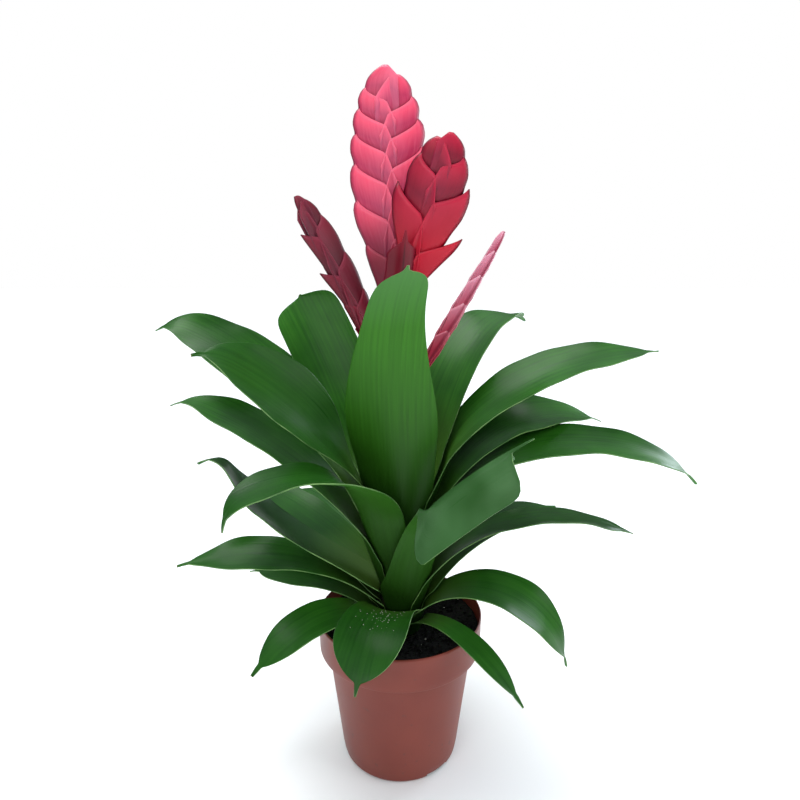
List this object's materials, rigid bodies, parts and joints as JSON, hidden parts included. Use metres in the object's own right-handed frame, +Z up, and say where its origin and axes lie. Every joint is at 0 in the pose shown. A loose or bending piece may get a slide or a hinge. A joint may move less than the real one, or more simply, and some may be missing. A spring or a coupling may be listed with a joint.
{
  "type": "potted bromeliad",
  "caption": "Potted bromeliad: a rosette of glossy strap leaves with a branched, flattened red and pink flower head, in a terracotta-coloured plastic nursery pot.",
  "frame": {"origin": "centre of the pot's underside, on the surface it stands on", "axes": "+Z up, -Y towards the side shown in the picture, +X to its right"},
  "size_m": [0.3778, 0.2699, 0.484],
  "materials": {
    "pot_plastic": "thin moulded terracotta-coloured plastic, satin, slightly marked",
    "potting_mix": "dark crumbly peat mix with white perlite grains",
    "stem_bark": "short brown-green stem, dull",
    "stalk_bract": "fleshy burgundy stalk and bracts, waxy satin",
    "leaf_green": "glossy waxy dark green leaf with fine lengthwise veins and a light edge",
    "rose_bract": "waxy rose-pink bract, darker at the folds",
    "crimson_bract": "waxy crimson bract",
    "burgundy_bract": "waxy burgundy bract",
    "pink_bract": "waxy pink bract with a pale sheen"
  },
  "bodies": {
    "root": {"pot": "pot_plastic", "soil": "potting_mix", "stem": "stem_bark", "flower_stalk": "stalk_bract", "leaf_front_right_low": "leaf_green", "leaf_front_left_low": "leaf_green", "leaf_right_low": "leaf_green", "leaf_left_low_under": "leaf_green", "leaf_front_low": "leaf_green", "leaf_left_low": "leaf_green", "leaf_right_lower": "leaf_green", "leaf_back_left_mid": "leaf_green", "leaf_left_mid_dark": "leaf_green", "leaf_front_right_fold": "leaf_green", "leaf_left_mid": "leaf_green", "leaf_right_long": "leaf_green", "leaf_front_left_arch": "leaf_green", "leaf_right_mid": "leaf_green", "leaf_left_top": "leaf_green", "leaf_left_upper": "leaf_green", "leaf_right_top": "leaf_green", "leaf_back_left_top": "leaf_green", "leaf_back_right_top": "leaf_green", "leaf_front_upright": "leaf_green", "leaf_back_low": "leaf_green", "leaf_back_left_low": "leaf_green", "leaf_back_right_low": "leaf_green", "leaf_back_lower": "leaf_green", "leaf_back_right_mid": "leaf_green", "leaf_back_mid": "leaf_green", "spike_main": "rose_bract", "spike_right": "crimson_bract", "spike_left": "burgundy_bract", "spike_thin": "pink_bract"}
  },
  "joints": []
}
